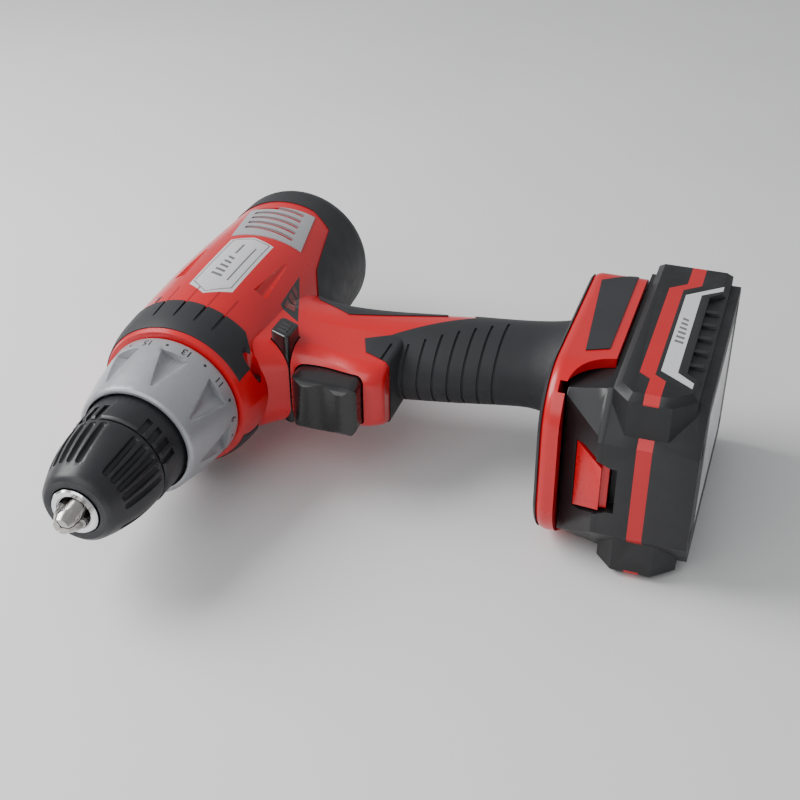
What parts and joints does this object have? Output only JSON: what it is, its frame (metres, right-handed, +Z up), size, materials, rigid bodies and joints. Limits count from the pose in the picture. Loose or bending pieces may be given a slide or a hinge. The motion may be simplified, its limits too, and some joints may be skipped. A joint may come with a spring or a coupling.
{
  "type": "cordless drill",
  "caption": "Pistol-grip cordless drill with keyless chuck, torque collar, trigger, direction slider, rubber grip and slide-in battery pack.",
  "frame": {"origin": "centre of the battery pack's flat bottom, the face the drill stands on", "axes": "+Z up through the handle, -Y towards the chuck along the spindle axis, +X the operator's left"},
  "size_m": [0.076, 0.2124, 0.2266],
  "materials": {
    "red_plastic": "satin",
    "dark_rubber": "matte",
    "silver_trim": "satin",
    "silver_grille": "satin",
    "window_black": "gloss",
    "screw_steel": "satin",
    "gearbox_aluminium": "cast",
    "gear_steel": "satin",
    "bronze": "satin",
    "gear_nylon": "matte",
    "motor_steel": "satin",
    "motor_plastic": "matte",
    "spring_steel": "satin",
    "collar_grey": "satin",
    "chuck_plastic": "satin",
    "chrome_ring": "polished",
    "jaw_steel": "satin",
    "control_black": "gloss",
    "wire_insulation": "matte",
    "pack_black": "matte",
    "pack_cover_black": "satin",
    "pack_red": "satin",
    "label_silver": "satin",
    "cell_wrap": "wrapped",
    "board_green": "matte",
    "button_red": "satin"
  },
  "bodies": {
    "housing": {"housing_left": "red_plastic", "housing_right": "red_plastic", "grip_left": "dark_rubber", "grip_right": "dark_rubber", "rear_bumper_left": "dark_rubber", "rear_bumper_right": "dark_rubber", "nose_band_left": "dark_rubber", "nose_band_right": "dark_rubber", "vent_grille_left": "silver_grille", "vent_grille_right": "silver_grille", "nameplates": "silver_trim", "foot_pads": "dark_rubber", "charge_window": "window_black", "housing_screws": "screw_steel", "gearbox_housing": "gearbox_aluminium", "spindle_bearing": "bronze", "ring_gear_1": "gear_nylon", "ring_gear_2": "gear_steel", "gearbox_back_plate": "gear_steel", "motor_can": "motor_steel", "motor_end_bell": "motor_plastic", "clutch_spring": "spring_steel", "trigger_spring": "spring_steel", "switch_body": "motor_plastic", "terminal_block": "motor_plastic", "internal_wires": "wire_insulation"},
    "spindle": {"spindle": "gear_steel", "chuck_body": "gear_steel", "chuck_rear_sleeve": "chuck_plastic", "chuck_nose_ring": "chrome_ring", "chuck_screw": "screw_steel"},
    "carrier_1": {"carrier_1": "gear_steel"},
    "rotor": {"motor_shaft": "gear_steel", "motor_pinion": "gear_steel", "rotor_core": "motor_steel", "motor_fan": "motor_plastic"},
    "front_sleeve": {"chuck_front_sleeve": "chuck_plastic", "chuck_nut": "jaw_steel"},
    "torque_collar": {"torque_collar": "collar_grey"},
    "clutch_nut": {"clutch_nut": "motor_plastic"},
    "trigger": {"trigger": "control_black"},
    "direction_selector": {"direction_selector": "control_black"},
    "battery_pack": {"pack_case": "pack_black", "pack_stripe": "pack_red", "pack_labels": "label_silver", "pack_top_cover": "pack_cover_black", "pack_screws": "screw_steel", "battery_cells": "cell_wrap", "pack_board": "board_green", "release_spring": "spring_steel"},
    "release_button": {"release_button": "button_red"},
    "planet_1_a": {"planet_1_a": "gear_nylon"},
    "planet_2_a": {"planet_2_a": "gear_steel"},
    "planet_1_b": {"planet_1_b": "gear_nylon"},
    "planet_2_b": {"planet_2_b": "gear_steel"},
    "planet_1_c": {"planet_1_c": "gear_nylon"},
    "planet_2_c": {"planet_2_c": "gear_steel"},
    "jaw_1": {"chuck_jaw_1": "jaw_steel"},
    "jaw_2": {"chuck_jaw_2": "jaw_steel"},
    "jaw_3": {"chuck_jaw_3": "jaw_steel"}
  },
  "joints": [
    {"name": "chuck_spin", "type": "hinge", "parent": "housing", "child": "spindle", "pos_m": [0, -0.08, 0.194], "axis": [0, 1, 0], "continuous": true},
    {"name": "carrier_1_spin", "type": "hinge", "parent": "housing", "child": "carrier_1", "pos_m": [0, -0.022, 0.194], "axis": [0, 1, 0], "continuous": true},
    {"name": "motor_spin", "type": "hinge", "parent": "housing", "child": "rotor", "pos_m": [0, 0.02, 0.194], "axis": [0, 1, 0], "continuous": true},
    {"name": "planet_1_a_spin", "type": "hinge", "parent": "carrier_1", "child": "planet_1_a", "pos_m": [0, -0.0165, 0.20375], "axis": [0, 1, 0], "continuous": true},
    {"name": "planet_1_b_spin", "type": "hinge", "parent": "carrier_1", "child": "planet_1_b", "pos_m": [0.00844, -0.0165, 0.18912], "axis": [0, 1, 0], "continuous": true},
    {"name": "planet_1_c_spin", "type": "hinge", "parent": "carrier_1", "child": "planet_1_c", "pos_m": [-0.00844, -0.0165, 0.18912], "axis": [0, 1, 0], "continuous": true},
    {"name": "planet_2_a_spin", "type": "hinge", "parent": "spindle", "child": "planet_2_a", "pos_m": [0, -0.0273, 0.20375], "axis": [0, 1, 0], "continuous": true},
    {"name": "planet_2_b_spin", "type": "hinge", "parent": "spindle", "child": "planet_2_b", "pos_m": [0.00844, -0.0273, 0.18912], "axis": [0, 1, 0], "continuous": true},
    {"name": "planet_2_c_spin", "type": "hinge", "parent": "spindle", "child": "planet_2_c", "pos_m": [-0.00844, -0.0273, 0.18912], "axis": [0, 1, 0], "continuous": true},
    {"name": "sleeve_turn", "type": "hinge", "parent": "spindle", "child": "front_sleeve", "pos_m": [0, -0.1, 0.194], "axis": [0, 1, 0], "range_deg": [0, 2520]},
    {"name": "jaw_1_slide", "type": "slide", "parent": "spindle", "child": "jaw_1", "axis": [0, 0.9659, 0.2588], "range_m": [0, 0.019]},
    {"name": "jaw_2_slide", "type": "slide", "parent": "spindle", "child": "jaw_2", "axis": [0.2241, 0.9659, -0.1294], "range_m": [0, 0.019]},
    {"name": "jaw_3_slide", "type": "slide", "parent": "spindle", "child": "jaw_3", "axis": [-0.2241, 0.9659, -0.1294], "range_m": [0, 0.019]},
    {"name": "collar_turn", "type": "hinge", "parent": "housing", "child": "torque_collar", "pos_m": [0, -0.06, 0.194], "axis": [0, 1, 0], "range_deg": [0, 342]},
    {"name": "clutch_nut_slide", "type": "slide", "parent": "housing", "child": "clutch_nut", "axis": [0, 1, 0], "range_m": [0, 0.006], "deforming": ["clutch_spring"]},
    {"name": "trigger_pull", "type": "slide", "parent": "housing", "child": "trigger", "axis": [0, 1, 0], "range_m": [0, 0.007], "stiffness_N_per_m": 700, "springref_m": -0.003, "deforming": ["trigger_spring"]},
    {"name": "selector_slide", "type": "slide", "parent": "housing", "child": "direction_selector", "axis": [-1, 0, 0], "range_m": [0, 0.006]},
    {"name": "pack_slide", "type": "slide", "parent": "housing", "child": "battery_pack", "axis": [0, -1, 0], "range_m": [0, 0.09]},
    {"name": "release_press", "type": "slide", "parent": "battery_pack", "child": "release_button", "axis": [0, 0, -1], "range_m": [0, 0.0025], "stiffness_N_per_m": 900, "springref_m": -0.002, "deforming": ["release_spring"]}
  ],
  "couplings": [
    {"joint": "carrier_1_spin", "follows": "chuck_spin", "ratio": 5},
    {"joint": "motor_spin", "follows": "chuck_spin", "ratio": 25},
    {"joint": "planet_1_a_spin", "follows": "chuck_spin", "ratio": -13.333},
    {"joint": "planet_2_a_spin", "follows": "chuck_spin", "ratio": -2.6667},
    {"joint": "planet_1_b_spin", "follows": "chuck_spin", "ratio": -13.333},
    {"joint": "planet_2_b_spin", "follows": "chuck_spin", "ratio": -2.6667},
    {"joint": "planet_1_c_spin", "follows": "chuck_spin", "ratio": -13.333},
    {"joint": "planet_2_c_spin", "follows": "chuck_spin", "ratio": -2.6667},
    {"joint": "jaw_1_slide", "follows": "sleeve_turn", "m_per_rad": 0.00043198},
    {"joint": "jaw_2_slide", "follows": "sleeve_turn", "m_per_rad": 0.00043198},
    {"joint": "jaw_3_slide", "follows": "sleeve_turn", "m_per_rad": 0.00043198},
    {"joint": "clutch_nut_slide", "follows": "collar_turn", "m_per_rad": 0.001005}
  ]
}
